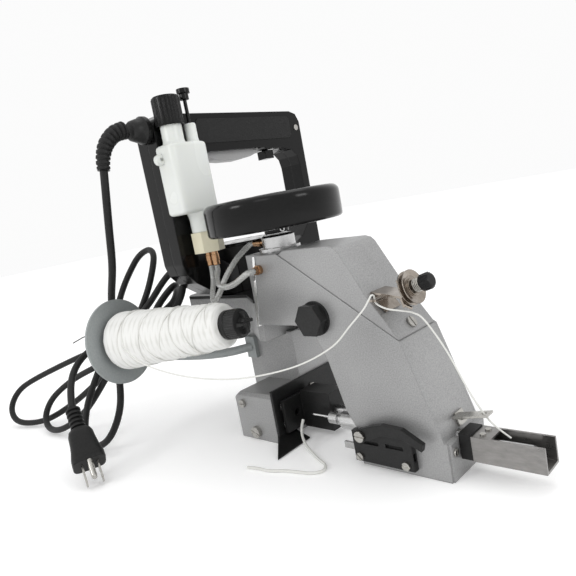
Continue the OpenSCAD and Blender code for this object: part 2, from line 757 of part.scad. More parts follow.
module screws() {
    color([0.7, 0.7, 0.7]) {
        translate([-156.9, front_y, 32]) rotate([90, 0, 0]) screw_head(3.5, 2.4);
        translate([-144.7, front_y, 7.5]) rotate([90, 20, 0]) screw_head(5, 3.4);
        translate([-29.5, -25, 8.6]) rotate([90, 40, 0]) screw_head(3, 1.6);
        translate([9, -25, 8.6]) rotate([90, 10, 0]) screw_head(3, 1.6);
        translate([-23, -25, 27]) rotate([90, 0, 0]) cylinder(h = 5.2, r = 2.5);
        translate([-23, -29.9, 27]) rotate([90, 0, 0]) screw_head(4, 1.8);
        translate([11.95, 3, 101.24]) rotate([0, 55.6, 0]) screw_head(4, 1.6);
        translate([plate_x, 28, 33]) rotate([0, 90, 0]) screw_head(4, 1.4);
        translate([36.5, 8.6, 34.4]) rotate([0, 73, 0]) screw_head(2.6, 1.6);
        for (y = [-4, 4]) bar_z(29.3, 30.3, 56, y, 2);
        translate([40.8, -14.3, 19.5]) rotate([0, 92.2, 0]) screw_head(2.6, 1.4);
        for (z = [272, 190]) bar_x(handle_x + handle_w / 2, handle_x + handle_w / 2 + 1, z < 200 ? 148 : 146, z, 3);
    }
}

// Frame of the thread cone, with Z along its spindle.
module at_cone() {
    translate(cone_at) rotate([0, 0, cone_turn]) rotate([0, cone_tilt, 0]) children();
}

module thread_stand() {
    color([0.45, 0.46, 0.44]) {
        block([-178, bed_y - 4, 62], [-166, bed_y, 82]);
        tube(curve([[-172, 16, 72], [-190, -4, 71], [-212, -28, 75], [-232, -54, 84], [-240, -74, 98],
            [-235, -81.2, 104.6]], 3), 4, 12);
        at_cone() {
            translate([0, 0, -7]) cylinder(h = 6, r = 8);
            translate([0, 0, -2]) cylinder(h = 2, r = disc_d / 2);
            cylinder(h = 4, r = 20);
            cylinder(h = 102, r = 3);
        }
    }
}

module thread_cone() {
    color([0.92, 0.92, 0.9]) at_cone() difference() {
        translate([0, 0, 4]) cylinder(h = 114, r1 = 25, r2 = 17.5);
        translate([0, 0, 3]) cylinder(h = 116, r = 10);
    }
}

module cone_cap() {
    color([0.06, 0.06, 0.06]) at_cone() {
        translate([0, 0, 102.1]) cylinder(h = 17, r = 9.5);
        translate([0, 0, 118.1]) cylinder(h = 14.9, r = 11.5);
        for (a = [0, 90]) rotate([0, 0, a]) translate([-9, -1.5, 132]) cube([18, 3, 6]);
    }
}

module thread() {
    color([0.93, 0.93, 0.9]) tube(concat(thread_points, [for (i = [1 : len(lead_points) - 1]) lead_points[i]]),
        thread_d / 2, 8);
}

module thread_tail() {
    color([0.93, 0.93, 0.9]) tube(tail_points, chain_d / 2, 8);
}

module strain_relief() {
    q = curve(relief_points, 3);
    color([0.07, 0.07, 0.07]) {
        translate([-198, -31, 278]) rotate([90, 0, 0]) cylinder(h = 6, r = 11);
        translate([-198, -36, 278]) rotate([90, 0, 0]) cylinder(h = 16, r1 = 11, r2 = 7);
        tube(q, 4.6, 12);
        for (i = [1 : 2 : len(q) - 2]) {
            way = unit(q[i + 1] - q[i - 1]);
            tube([q[i] - 1.3 * way, q[i] + 1.3 * way], 7.8 - 0.22 * i, 12);
        }
    }
}

module power_cord() {
    color([0.06, 0.06, 0.06]) tube(cord_points, cord_d / 2, 8);
}

module plug() {
    color([0.07, 0.07, 0.07]) translate(plug_entry) rotate([0, acos(plug_dir.z), atan2(plug_dir.y, plug_dir.x)]) {
        cylinder(h = 24, r = 5);
        for (z = [2 : 5 : 17]) translate([0, 0, z]) cylinder(h = 2.6, r = 6.6);
        translate([0, 0, 22]) rounded([-11, -13.5, 0], [11, 13.5, 35], 5);
        for (y = [-6.35, 6.35]) block([-3.1, y - 0.8, 56], [3.1, y + 0.8, 75.5]);
        translate([-8, 0, 56]) cylinder(h = 18, r = 2.4);
    }
}

arm_housing();
edge_strip();
top_cover();
rear_cover();
bed_frame();
motor_plate();
looper_cover();
throat_plate();
feed_dog();
looper();
looper_shaft();
needle_bar();
needle();
needle_bushes();
needle_lever();
lever_pin();
connecting_rod();
main_shaft();
driven_pulley();
handwheel();
shaft_bearings();
drive_belt();
motor_pulley();
rotor();
motor_housing();
motor_cover();
handle_outer();
handle_inner();
grip_pads();
trigger();
trigger_lock();
oil_bottle();
filler_cap();
oil_plunger();
bottle_nut();
oil_fittings();
oil_tubes();
needle_guard();
guard_gasket();
thread_guide();
tension_bracket();
tension_discs();
tension_spring();
tension_knob();
presser_bar();
presser_foot();
presser_spring();
lifter_lever();
knife_cover();
knife();
hex_plug();
screws();
thread_stand();
thread_cone();
cone_cap();
thread();
thread_tail();
strain_relief();
power_cord();
plug();
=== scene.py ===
"""Looks of the bag closer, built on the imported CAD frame. Metres, Z up, origin on the needle arm's foot."""

import math

import bpy
from mathutils import Matrix, Vector


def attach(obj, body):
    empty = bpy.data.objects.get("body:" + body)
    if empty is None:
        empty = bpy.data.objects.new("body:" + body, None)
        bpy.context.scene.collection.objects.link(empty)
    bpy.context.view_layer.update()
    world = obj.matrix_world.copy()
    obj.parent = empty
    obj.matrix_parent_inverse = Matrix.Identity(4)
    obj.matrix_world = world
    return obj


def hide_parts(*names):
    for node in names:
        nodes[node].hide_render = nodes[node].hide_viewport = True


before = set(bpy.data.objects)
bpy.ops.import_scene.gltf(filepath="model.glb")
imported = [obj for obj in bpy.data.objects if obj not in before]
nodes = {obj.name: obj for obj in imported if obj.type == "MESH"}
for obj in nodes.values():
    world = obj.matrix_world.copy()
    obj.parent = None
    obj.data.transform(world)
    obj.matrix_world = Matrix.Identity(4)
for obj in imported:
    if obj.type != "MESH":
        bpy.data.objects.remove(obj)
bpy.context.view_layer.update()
scene = bpy.context.scene
scene.view_settings.view_transform = "Standard"
MM = 0.001


# ---------------------------------------------------------------- camera
SENSOR = 36.0
FOCAL_IN_IMAGE_WIDTHS = 565 / 576
CAMERA_AT = (0.2219, -0.3169, 0.195)
CAMERA_FORWARD = (-0.700, 0.699, -0.145)
CAMERA_UP = (0.031, 0.233, 0.972)


def make_camera():
    data = bpy.data.cameras.new("camera")
    data.sensor_width = SENSOR
    data.lens = SENSOR * FOCAL_IN_IMAGE_WIDTHS
    data.clip_start, data.clip_end = 0.01, 50
    cam = bpy.data.objects.new("camera", data)
    scene.collection.objects.link(cam)
    forward = Vector(CAMERA_FORWARD).normalized()
    right = forward.cross(Vector(CAMERA_UP)).normalized()
    up = right.cross(forward)
    turn = Matrix((right, up, -forward)).transposed()
    cam.matrix_world = Matrix.Translation(CAMERA_AT) @ turn.to_4x4()
    scene.camera = cam


make_camera()


# ---------------------------------------------------------------- materials
def new_material(name):
    m = bpy.data.materials.new(name)
    m.use_nodes = True
    tree = m.node_tree
    return m, tree, tree.nodes["Principled BSDF"]


def node(tree, kind, **values):
    n = tree.nodes.new(kind)
    for key, value in values.items():
        if hasattr(n, key):
            setattr(n, key, value)
        else:
            n.inputs[key.replace("_", " ")].default_value = value
    return n


def object_space(tree, scale=(1, 1, 1)):
    """Texture coordinates fixed to the object, so that nothing slides in other views."""
    coord = tree.nodes.new("ShaderNodeTexCoord")
    mapping = tree.nodes.new("ShaderNodeMapping")
    mapping.inputs["Scale"].default_value = scale
    tree.links.new(coord.outputs["Object"], mapping.inputs["Vector"])
    return mapping.outputs["Vector"]


def ramp(tree, source, stops):
    r = tree.nodes.new("ShaderNodeValToRGB")
    for end, (at, colour) in zip(r.color_ramp.elements, (stops[0], stops[-1])):
        end.position = at
        end.color = (*colour, 1)
    tree.links.new(source, r.inputs["Fac"])
    return r.outputs["Color"]


def textured(name, low, high, rough=(0.4, 0.5), metallic=0.0, scale=300.0, bump=0.1, depth=0.0002,
             stretch=(1, 1, 1), coat=0.0, edge=0.0008, kind="noise", spec=0.5, sheen=0.0):
    """A surface whose colour, roughness and relief all vary with one fine texture over a broad one."""
    m, tree, bsdf = new_material(name)
    place = object_space(tree, stretch)
    if kind == "noise":
        fine = node(tree, "ShaderNodeTexNoise", Scale=scale, Detail=4.0)
        fine_out = fine.outputs["Fac"]
    else:
        fine = node(tree, "ShaderNodeTexVoronoi", Scale=scale)
        fine_out = fine.outputs["Distance"]
    broad = node(tree, "ShaderNodeTexNoise", Scale=14.0, Detail=3.0)
    for t in (fine, broad):
        tree.links.new(place, t.inputs["Vector"])
    both = node(tree, "ShaderNodeMath", operation="MULTIPLY_ADD")
    both.inputs[1].default_value = 0.6
    tree.links.new(fine_out, both.inputs[0])
    half = node(tree, "ShaderNodeMath", operation="MULTIPLY")
    half.inputs[1].default_value = 0.4
    tree.links.new(broad.outputs["Fac"], half.inputs[0])
    tree.links.new(half.outputs[0], both.inputs[2])
    tree.links.new(ramp(tree, both.outputs[0], [(0.3, low), (0.7, high)]), bsdf.inputs["Base Color"])
    spread = node(tree, "ShaderNodeMapRange", To_Min=rough[0], To_Max=rough[1])
    tree.links.new(both.outputs[0], spread.inputs["Value"])
    tree.links.new(spread.outputs["Result"], bsdf.inputs["Roughness"])
    relief = node(tree, "ShaderNodeBump", Strength=bump, Distance=depth)
    tree.links.new(fine_out, relief.inputs["Height"])
    if edge:
        soft = node(tree, "ShaderNodeBevel", samples=4, Radius=edge)
        tree.links.new(soft.outputs["Normal"], relief.inputs["Normal"])
    tree.links.new(relief.outputs["Normal"], bsdf.inputs["Normal"])
    bsdf.inputs["Metallic"].default_value = metallic
    bsdf.inputs["Specular IOR Level"].default_value = spec
    bsdf.inputs["Coat Weight"].default_value = coat
    bsdf.inputs["Coat Roughness"].default_value = 0.08
    bsdf.inputs["Sheen Weight"].default_value = sheen
    return m


def grey(v):
    return (v, v, v)


PAINT = textured("grey_enamel", grey(0.22), grey(0.40), (0.36, 0.48), 0.45, 1100, 0.16, 0.00012,
                 coat=0.1, edge=0.0016)
DISC = textured("disc_grey", (0.27, 0.29, 0.29), (0.34, 0.36, 0.36), (0.42, 0.55), 0.35, 700, 0.12, 0.0001)
BLACK = textured("gloss_black", grey(0.002), grey(0.005), (0.10, 0.18), 0.0, 500, 0.03, 0.0001,
                 spec=0.22, edge=0.0014)
BLACK_GRIP = textured("grip_black", grey(0.006), grey(0.018), (0.45, 0.62), 0.0, 900, 0.9, 0.0004,
                      kind="voronoi", spec=0.2)
BLACK_SATIN = textured("satin_black", grey(0.008), grey(0.020), (0.30, 0.42), 0.0, 700, 0.15, 0.00015,
                       spec=0.25)
BLACK_STEEL = textured("black_steel", grey(0.008), grey(0.020), (0.26, 0.40), 0.2, 600, 0.12, 0.0001,
                       spec=0.3)
RUBBER = textured("rubber", grey(0.006), grey(0.014), (0.42, 0.58), 0.0, 500, 0.2, 0.0002,
                  edge=0, spec=0.25)
STEEL = textured("steel", grey(0.46), grey(0.62), (0.18, 0.32), 1.0, 500, 0.10, 0.00008,
                 stretch=(1, 1, 6), edge=0.0005)
CHROME = textured("chrome", grey(0.72), grey(0.85), (0.06, 0.14), 1.0, 300, 0.03, 0.00005, edge=0.0004)
ZINC = textured("zinc", (0.36, 0.35, 0.33), (0.50, 0.49, 0.46), (0.22, 0.34), 1.0, 300, 0.04, 0.00006,
                edge=0.0004)
NICKEL = textured("nickel", (0.24, 0.21, 0.18), (0.38, 0.34, 0.30), (0.14, 0.26), 1.0, 250, 0.03, 0.00006,
                  edge=0.0004)
BRONZED = textured("bronzed_steel", (0.20, 0.195, 0.19), (0.30, 0.29, 0.28), (0.22, 0.36), 0.9, 160, 0.1,
                   0.0001, stretch=(1, 3, 3), edge=0.0005)
BRASS = textured("brass", (0.30, 0.17, 0.09), (0.50, 0.31, 0.18), (0.18, 0.32), 1.0, 700, 0.2, 0.0001,
                 edge=0.0004)
CAST = textured("cast_core", (0.08, 0.06, 0.05), (0.16, 0.12, 0.09), (0.5, 0.7), 0.6, 300, 0.4, 0.0003)
LIGHT = textured("light_plastic", grey(0.30), grey(0.38), (0.35, 0.5), 0.0, 700, 0.1, 0.0001)
CREAM = textured("cream_plastic", (0.62, 0.58, 0.42), (0.74, 0.70, 0.54), (0.3, 0.45), 0.0, 60, 0.05, 0.0001)
THREAD = textured("spun_thread", (0.60, 0.60, 0.57), (0.74, 0.74, 0.71), (0.75, 0.9), 0.0, 2500, 0.5,
                  0.0002, sheen=0.3, edge=0)
TWIST = textured("twist_tie", grey(0.006), grey(0.015), (0.4, 0.5), 0.0, 900, 0.1, 0.0001, edge=0)


def milky():
    m, tree, bsdf = new_material("milky_plastic")
    place = object_space(tree)
    cloud = node(tree, "ShaderNodeTexNoise", Scale=20.0, Detail=1.0)
    tree.links.new(place, cloud.inputs["Vector"])
    tree.links.new(ramp(tree, cloud.outputs["Fac"], [(0.2, (0.66, 0.68, 0.65)), (0.8, (0.76, 0.78, 0.76))]),
                   bsdf.inputs["Base Color"])
    spread = node(tree, "ShaderNodeMapRange", To_Min=0.2, To_Max=0.34)
    tree.links.new(cloud.outputs["Fac"], spread.inputs["Value"])
    tree.links.new(spread.outputs["Result"], bsdf.inputs["Roughness"])
    soft = node(tree, "ShaderNodeBevel", samples=4, Radius=0.0016)
    relief = node(tree, "ShaderNodeBump", Strength=0.03, Distance=0.0002)
    tree.links.new(cloud.outputs["Fac"], relief.inputs["Height"])
    tree.links.new(soft.outputs["Normal"], relief.inputs["Normal"])
    tree.links.new(relief.outputs["Normal"], bsdf.inputs["Normal"])
    bsdf.inputs["Subsurface Weight"].default_value = 0.35
    bsdf.inputs["Subsurface Radius"].default_value = (0.006, 0.006, 0.005)
    bsdf.inputs["IOR"].default_value = 1.45
    return m


def clear_tube():
    m, tree, bsdf = new_material("ribbed_tube")
    place = object_space(tree)
    rib = node(tree, "ShaderNodeTexNoise", Scale=900.0, Detail=2.0)
    tree.links.new(place, rib.inputs["Vector"])
    tree.links.new(ramp(tree, rib.outputs["Fac"], [(0.35, (0.50, 0.50, 0.48)), (0.65, (0.74, 0.75, 0.73))]),
                   bsdf.inputs["Base Color"])
    spread = node(tree, "ShaderNodeMapRange", To_Min=0.12, To_Max=0.28)
    tree.links.new(rib.outputs["Fac"], spread.inputs["Value"])
    tree.links.new(spread.outputs["Result"], bsdf.inputs["Roughness"])
    bsdf.inputs["Transmission Weight"].default_value = 0.45
    bsdf.inputs["Coat Weight"].default_value = 0.5
    return m


MILKY = milky()
TUBE = clear_tube()


# ---------------------------------------------------------------- helpers
def link(name, data, material, body="root", smooth=None):
    o = bpy.data.objects.new(name, data)
    scene.collection.objects.link(o)
    data.materials.append(material)
    if smooth is not None and hasattr(data, "polygons"):
        for p in data.polygons:
            p.use_smooth = True
        if smooth:
            data.set_sharp_from_angle(angle=math.radians(smooth))
    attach(o, body)
    return o


def spline(points, steps):
    """Catmull-Rom curve through listed points in millimetres, in metres."""
    p = [Vector(x) * MM for x in points]
    out = []
    for i in range(len(p) - 1):
        a, b, c, d = p[max(i - 1, 0)], p[i], p[i + 1], p[min(i + 2, len(p) - 1)]
        for k in range(steps):
            t = k / steps
            out.append(0.5 * (2 * b + (c - a) * t + (2 * a - 5 * b + 4 * c - d) * t * t
                              + (3 * b - 3 * c + d - a) * t ** 3))
    return out + [p[-1]]


def wire(name, line, radius, material, body="root", sides=3, radii=None):
    """Round wire along a line of points in metres."""
    data = bpy.data.curves.new(name, "CURVE")
    data.dimensions = "3D"
    s = data.splines.new("POLY")
    s.points.add(len(line) - 1)
    for i, (q, p) in enumerate(zip(s.points, line)):
        q.co = (*p, 1)
        if radii:
            q.radius = radii[i]
    s.use_smooth = True
    data.bevel_depth, data.bevel_resolution, data.use_fill_caps = radius, sides, True
    return link(name, data, material, body)


def frame_of(origin, way):
    """Matrix that puts local Z along way at origin (millimetres)."""
    z = Vector(way).normalized()
    return Matrix.Translation(Vector(origin) * MM) @ z.to_track_quat("Z", "Y").to_matrix().to_4x4()


def lathe(name, profile, place, material, body="root", seg=64, smooth=35, wave=None, uv=False):
    """Turned piece: profile is (radius, height) in millimetres; wave(angle, height) changes the radius."""
    verts, faces, uvs = [], [], []
    for k in range(seg):
        a = 2 * math.pi * k / seg
        for r, h in profile:
            rr = r + (wave(a, h) if wave and r > 0.01 else 0)
            verts.append(place @ Vector((rr * math.cos(a) * MM, rr * math.sin(a) * MM, h * MM)))
    n = len(profile)
    for k in range(seg):
        j = (k + 1) % seg
        for i in range(n - 1):
            faces.append((k * n + i, j * n + i, j * n + i + 1, k * n + i + 1))
            uvs.append((k / seg, i / n, (k + 1) / seg, (i + 1) / n))
    mesh = bpy.data.meshes.new(name)
    mesh.from_pydata([tuple(v) for v in verts], [], faces)
    mesh.validate()
    if uv:
        layer = mesh.uv_layers.new(name="turns")
        for p, (u0, v0, u1, v1) in zip(mesh.polygons, uvs):
            for li, (u, v) in zip(p.loop_indices, ((u0, v0), (u1, v0), (u1, v1), (u0, v1))):
                layer.data[li].uv = (u, v)
    return link(name, mesh, material, body, smooth)


def loft(name, rings, place, material, body="root", count=48, smooth=40):
    """Closed shape through superellipse rings of (height, half X, half Y, squareness) in millimetres."""
    verts, faces = [], []
    for h, wx, wy, power in rings:
        for k in range(count):
            a = 2 * math.pi * k / count
            c, s = math.cos(a), math.sin(a)
            verts.append(place @ Vector((wx * math.copysign(abs(c) ** power, c) * MM,
                                         wy * math.copysign(abs(s) ** power, s) * MM, h * MM)))
    for i in range(len(rings) - 1):
        for k in range(count):
            j = (k + 1) % count
            faces.append((i * count + k, i * count + j, (i + 1) * count + j, (i + 1) * count + k))
    faces.append(tuple(range(count))[::-1])
    faces.append(tuple((len(rings) - 1) * count + k for k in range(count)))
    mesh = bpy.data.meshes.new(name)
    mesh.from_pydata([tuple(v) for v in verts], [], faces)
    return link(name, mesh, material, body, smooth)


# ---------------------------------------------------------------- cords first
CORD = [
    (-198, -78, 248), (-200, -80, 228), (-208, -80, 200), (-222, -77, 170), (-244, -73, 142),
    (-258, -70, 114), (-266, -70, 88), (-266, -73, 60), (-260, -82, 38), (-263, -95, 17), (-283, -101, 6),
    (-308, -99, 12), (-322, -83, 38), (-320, -59, 74), (-320, -37, 108), (-322, -18, 138), (-320, -3, 158),
    (-314, 6, 170), (-300, 10, 175), (-286, 6, 170), (-280, -2, 157), (-281, -14, 134), (-296, -26, 106),
    (-314, -39, 84), (-340, -52, 67), (-374, -62, 55), (-400, -71, 43), (-417, -82, 29), (-415, -93, 14),
    (-396, -98, 5), (-366, -95, 9), (-338, -80, 26), (-314, -59, 60), (-300, -42, 86), (-284, -28, 111),
    (-272, -17, 126), (-263, -5, 142), (-250, 2, 152), (-234, 0, 149), (-226, -9, 134), (-231, -18, 118),
    (-248, -26, 105), (-270, -32, 92), (-292, -37, 80), (-320, -46, 63), (-354, -56, 45), (-390, -69, 24),
    (-424, -87, 8), (-452, -101, 5), (-473, -106, 9), (-487, -102, 21), (-487, -90, 36), (-466, -76, 48),
    (-404, -50, 68), (-348, -34, 82), (-306, -24, 91), (-280, -18, 105), (-273, 9, 118), (-246, -2, 139),
    (-236, -35, 123), (-246, -40, 103), (-259, -50, 87), (-281, -53, 82), (-304, -69, 92), (-310, -84, 85),
    (-301, -99, 76), (-284, -112, 66), (-266, -122, 55),
]
THREAD_RUN = [
    (-196, -99, 106), (-168, -104, 99), (-140, -102, 92), (-112, -94, 86), (-84, -82, 83), (-60, -68, 84),
    (-40, -54, 88), (-22, -42, 97), (-10, -36, 109), (0, -32, 119), (4, -30, 124.6), (5, -27.2, 127.6),
    (5, -24.4, 126.4), (5, -24, 122.2), (7.5, -22.4, 119), (12, -20, 116.4), (20, -16, 114.2),
    (25.5, -13, 112), (30, -9, 106), (38, -2, 84), (48, 0, 58), (56, 1, 42), (63, 1, 34), (72, 1, 27.5),
]
TAIL = [
    (-103.8, -3, 17), (-103, -7, 12), (-98, -13, 7), (-88, -20, 3.6), (-76, -26, 2), (-66, -31, 1.4),
    (-57, -35, 1.3), (-52, -42, 1.3), (-57, -49, 1.3), (-68, -52, 1.3), (-80, -55, 1.3), (-92, -60, 1.3),
    (-104, -61, 1.3), (-113, -63, 1.3),
]
PLUG_AT, PLUG_WAY = (-266, -122, 55), (0.689, -0.225, -0.689)


def smoothed(line, passes):
    """Evens out the bends of a line and leaves its ends where they are."""
    for _ in range(passes):
        line = [line[0]] + [(a + 2 * b + c) / 4 for a, b, c in zip(line, line[1:], line[2:])] + [line[-1]]
    return line


def side_faces():
    """Sides of a block given as three rings of four corners, one above the other."""
    return [(base + k, base + (k + 1) % 4, base + 4 + (k + 1) % 4, base + 4 + k)
            for base in (0, 4) for k in range(4)]


def plug_pieces():
    # The same axes as the CAD's: Y stays level, so the blades lie side by side.
    z = Vector(PLUG_WAY).normalized()
    y = Vector((0, 0, 1)).cross(z).normalized()
    x = y.cross(z)
    place = Matrix.Translation(Vector(PLUG_AT) * MM) @ Matrix((x, y, z)).transposed().to_4x4()

    neck = [(0, 4.2, 4.2, 1)]
    for i in range(5):
        h = 2 + 4.2 * i
        neck += [(h, 4.4, 4.4, 1), (h + 0.4, 6.2, 6.2, 1), (h + 2.2, 6.4, 6.4, 1), (h + 2.7, 4.5, 4.6, 1)]
    body = neck + [
        (23, 6.4, 7.4, 0.9), (25, 8.0, 9.2, 0.75), (29, 9.2, 10.4, 0.6), (36, 9.8, 10.8, 0.5),
        (44, 10.4, 11.8, 0.45), (51, 10.8, 13.4, 0.42), (56.2, 10.8, 13.4, 0.42), (57, 10.2, 12.8, 0.42),
    ]
    plug = loft("plug_body", body, place, RUBBER)
    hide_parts("plug")
    pins = []
    x0, x1, tip = -3.1, 3.1, 75
    for name, y0, y1 in (("blade_a", -7.1, -5.6), ("blade_b", 5.6, 7.1)):
        corners = ((x0, y0), (x1, y0), (x1, y1), (x0, y1))
        verts = [(px, py, ph) for ph in (56.5, tip - 2) for px, py in corners]
        verts += [(x0 + 1.4, y0 + 0.3, tip), (x1 - 1.4, y0 + 0.3, tip)]
        verts += [(x1 - 1.4, y1 - 0.3, tip), (x0 + 1.4, y1 - 0.3, tip)]
        faces = [(0, 3, 2, 1), (8, 9, 10, 11), *side_faces()]
        mesh = bpy.data.meshes.new("plug_" + name)
        mesh.from_pydata([tuple(place @ (Vector(v) * MM)) for v in verts], [], faces)
        pins.append(link("plug_" + name, mesh, ZINC, "root"))
    ground = place @ Matrix.Translation((-8 * MM, 0, 0))
    pin = [(0, 56.5), (2.4, 56.5), (2.4, 71.5), (1.9, 73.4), (0.8, 74.4), (0, 74.4)]
    pins.append(lathe("plug_ground_pin", pin, ground, ZINC, "root", 24))
    return [plug, *pins]


def make_cords():
    plug = plug_pieces()
    line = smoothed(spline(CORD, 8), 6)
    cord = wire("mains_lead", line, 3.25 * MM, RUBBER, sides=4)
    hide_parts("power_cord")
    run = wire("sewing_thread", spline(THREAD_RUN, 6), 0.6 * MM, THREAD, sides=2)
    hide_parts("thread")
    chain = wire("thread_chain", smoothed(spline(TAIL, 8), 2), 1.2 * MM, THREAD, sides=2)
    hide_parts("thread_tail")


make_cords()


# ---------------------------------------------------------------- CAD nodes keep their shapes
def paint(material, *names):
    for n in names:
        data = nodes[n].data
        data.materials.clear()
        data.materials.append(material)


paint(PAINT, "arm_housing", "top_cover", "rear_cover", "looper_cover", "bed_frame")
paint(CHROME, "edge_strip", "needle")
paint(BLACK_STEEL, "throat_plate", "presser_foot", "lifter_lever", "knife_cover", "hex_plug")
paint(STEEL, "feed_dog", "looper", "looper_shaft", "needle_bar", "needle_lever", "lever_pin",
      "connecting_rod", "main_shaft", "shaft_bearings", "presser_bar", "presser_spring", "knife",
      "needle_bushes", "driven_pulley", "motor_pulley")
paint(ZINC, "screws", "thread_guide", "tension_spring")
paint(NICKEL, "tension_bracket", "tension_discs")
paint(BLACK, "handle_outer", "handle_inner", "motor_cover", "handwheel", "filler_cap", "oil_plunger",
      "tension_knob", "cone_cap", "trigger_lock")
paint(BLACK_SATIN, "motor_housing", "motor_plate")
paint(BLACK_GRIP, "grip_pads")
paint(LIGHT, "trigger")
paint(MILKY, "oil_bottle")
paint(CREAM, "bottle_nut")
paint(BRASS, "oil_fittings")
paint(BRONZED, "needle_guard")
paint(RUBBER, "guard_gasket", "drive_belt", "strain_relief", "power_cord", "plug")
paint(CAST, "rotor")
paint(DISC, "thread_stand")
paint(THREAD, "thread_cone", "thread", "thread_tail")
paint(TUBE, "oil_tubes")


# ---------------------------------------------------------------- thread cone
def cone_place():
    turn = Matrix.Rotation(math.radians(13.5), 4, "Z") @ Matrix.Rotation(math.radians(86), 4, "Y")
    return Matrix.Translation(Vector((-230, -80, 105)) * MM) @ turn


def wound():
    """Crossed winding of the cone as relief and shade, from the lathe's own coordinates."""
    m, tree, bsdf = new_material("wound_thread")
    uv = node(tree, "ShaderNodeUVMap", uv_map="turns")
    heights = []
    for turns, along in ((5.0, 30.0), (-5.0, 30.0)):
        mapping = tree.nodes.new("ShaderNodeMapping")
        mapping.inputs["Scale"].default_value = (turns, along, 1)
        tree.links.new(uv.outputs["UV"], mapping.inputs["Vector"])
        wave = node(tree, "ShaderNodeTexWave", bands_direction="DIAGONAL", Scale=0.5, Distortion=0.8,
                    Detail=1.0)
        tree.links.new(mapping.outputs["Vector"], wave.inputs["Vector"])
        heights.append(wave.outputs["Fac"])
    top = node(tree, "ShaderNodeMath", operation="MAXIMUM")
    tree.links.new(heights[0], top.inputs[0])
    tree.links.new(heights[1], top.inputs[1])
    fuzz = node(tree, "ShaderNodeTexNoise", Scale=1800.0, Detail=3.0)
    tree.links.new(object_space(tree), fuzz.inputs["Vector"])
    mixed = node(tree, "ShaderNodeMath", operation="MULTIPLY_ADD")
    mixed.inputs[1].default_value = 0.35
    tree.links.new(fuzz.outputs["Fac"], mixed.inputs[0])
    tree.links.new(top.outputs[0], mixed.inputs[2])
    shade = ramp(tree, mixed.outputs[0], [(0.1, (0.62, 0.62, 0.59)), (0.95, (0.74, 0.74, 0.72))])
    tree.links.new(shade, bsdf.inputs["Base Color"])
    relief = node(tree, "ShaderNodeBump", Strength=0.22, Distance=0.0004)
    tree.links.new(mixed.outputs[0], relief.inputs["Height"])
    tree.links.new(relief.outputs["Normal"], bsdf.inputs["Normal"])
    bsdf.inputs["Roughness"].default_value = 0.85
    bsdf.inputs["Sheen Weight"].default_value = 0.3
    return m


# Loose strands on the cone: starting angle, turns, and the heights between which each one climbs.
STRANDS = (
    (0.3, 1.6, 8, 52), (2.4, -1.5, 20, 74), (4.1, 1.7, 44, 100),
    (5.2, -1.4, 62, 112), (1.1, -1.2, 9, 40), (3.3, 1.2, 84, 113),
)


def make_cone():
    place = cone_place()
    profile = [(10, 5), (22, 5), (24.4, 5.6), (25.0, 8)]
    profile += [(25.0 - 7.3 * i / 40 + 0.25 * math.sin(i * 1.7), 8 + 106 * i / 40) for i in range(1, 40)]
    profile += [(17.6, 114.6), (16.9, 116.8), (15, 117.8), (10, 118)]
    roll = lathe("thread_roll", profile, place, wound(), seg=160, smooth=60, uv=True,
                 wave=lambda a, h: 0.18 * math.sin(9 * a + h * 0.5) * math.sin(7 * a - h * 0.4))
    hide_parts("thread_cone")
    for i, (start, turns, z0, z1) in enumerate(STRANDS):
        line = []
        for k in range(121):
            t = k / 120
            h = z0 + (z1 - z0) * (t + 0.05 * math.sin(2 * math.pi * t))
            r = 25.0 - 7.5 * (h - 4) / 114 + 0.42 - 0.75 * (abs(2 * t - 1) ** 12)
            a = start + 2 * math.pi * turns * t
            line.append(place @ (Vector((r * math.cos(a), r * math.sin(a), h)) * MM))
        wire(f"wound_strand_{i}", line, 0.42 * MM, THREAD, sides=2)
    cap = [
        (0, 102.4), (9.4, 102.4), (9.4, 118.1), (11.2, 118.1), (11.5, 118.8), (11.5, 121.4), (10.9, 121.8),
        (10.9, 122.6), (11.5, 123), (11.5, 131), (11, 132.4), (8.6, 133), (4.6, 133.2), (4.2, 136.6),
        (3.4, 137.4), (0, 137.6),
    ]
    made = lathe("cone_cap_knurled", cap, place, BLACK_SATIN, seg=144, smooth=25,
                 wave=lambda a, h: -0.45 * (0.5 + 0.5 * math.cos(36 * a)) if 123 <= h <= 131 else 0)
    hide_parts("cone_cap")
    for turn in (0, 1):
        verts = []
        for h, half, wide in ((132.4, 8.8, 1.5), (136.6, 8.4, 1.3), (137.8, 7.4, 0.7)):
            verts += [(-half, -wide, h), (half, -wide, h), (half, wide, h), (-half, wide, h)]
        faces = [*side_faces(), (3, 2, 1, 0), (8, 9, 10, 11)]
        mesh = bpy.data.meshes.new(f"cone_cap_rib_{turn}")
        spin = place @ Matrix.Rotation(math.pi / 2 * turn, 4, "Z")
        mesh.from_pydata([tuple(spin @ (Vector(v) * MM)) for v in verts], [], faces)
        link(f"cone_cap_rib_{turn}", mesh, BLACK_SATIN, "root")
    # Black ring in the gap between disc and roll: a seat for the roll, and a painted shadow where the roll's
    # base shades the disc.
    lathe("spool_seat_painted_shadow", [(14, 0.2), (19.5, 0.2), (21, 1.2), (21, 4.4), (14, 4.6)], place, BLACK_SATIN,
          seg=64)


make_cone()


